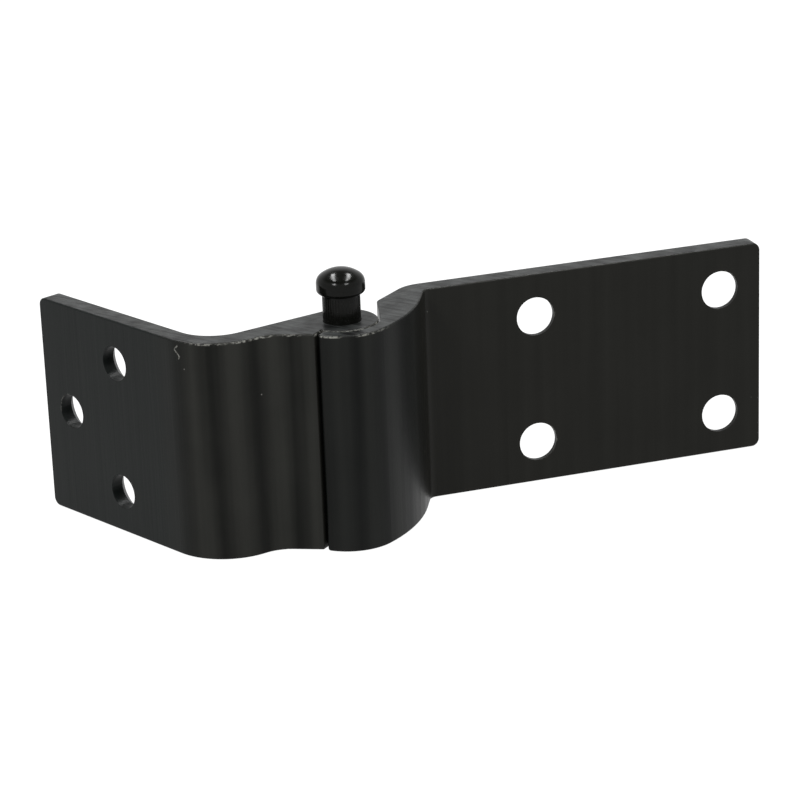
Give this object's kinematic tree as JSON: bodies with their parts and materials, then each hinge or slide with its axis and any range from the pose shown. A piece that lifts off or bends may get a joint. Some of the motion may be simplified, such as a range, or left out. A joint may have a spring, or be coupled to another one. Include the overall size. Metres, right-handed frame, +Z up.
{
  "type": "cranked two-leaf gate hinge",
  "caption": "Heavy cranked hinge: a bent frame leaf and a set-back door leaf swing about a pull-out pin with a mushroom head; a claw on the door leaf covers the knuckles.",
  "frame": {"origin": "on the hinge axis, at the lower face of the frame leaf's lower knuckle", "axes": "+Z up along the pin; +X along the door leaf's plate, away from the pin; the door plate's outer face looks to -Y"},
  "size_m": [0.195, 0.0692, 0.0742],
  "materials": {
    "leaf_coating": "satin black coating, worn on edges",
    "pin_coating": "glossy black coating",
    "bush_polymer": "matte moulded bearing polymer"
  },
  "bodies": {
    "frame": {"frame_leaf": "leaf_coating"},
    "door": {"door_leaf": "leaf_coating", "upper_bush": "bush_polymer", "lower_bush": "bush_polymer"},
    "pin": {"hinge_pin": "pin_coating"}
  },
  "joints": [
    {"name": "door_swing", "type": "hinge", "parent": "frame", "child": "door", "pos_m": [0, 0, 0], "axis": [0, 0, 1], "range_deg": [-3, 120]},
    {"name": "pin_draw", "type": "slide", "parent": "frame", "child": "pin", "axis": [0, 0, 1], "range_m": [0, 0.056]}
  ]
}
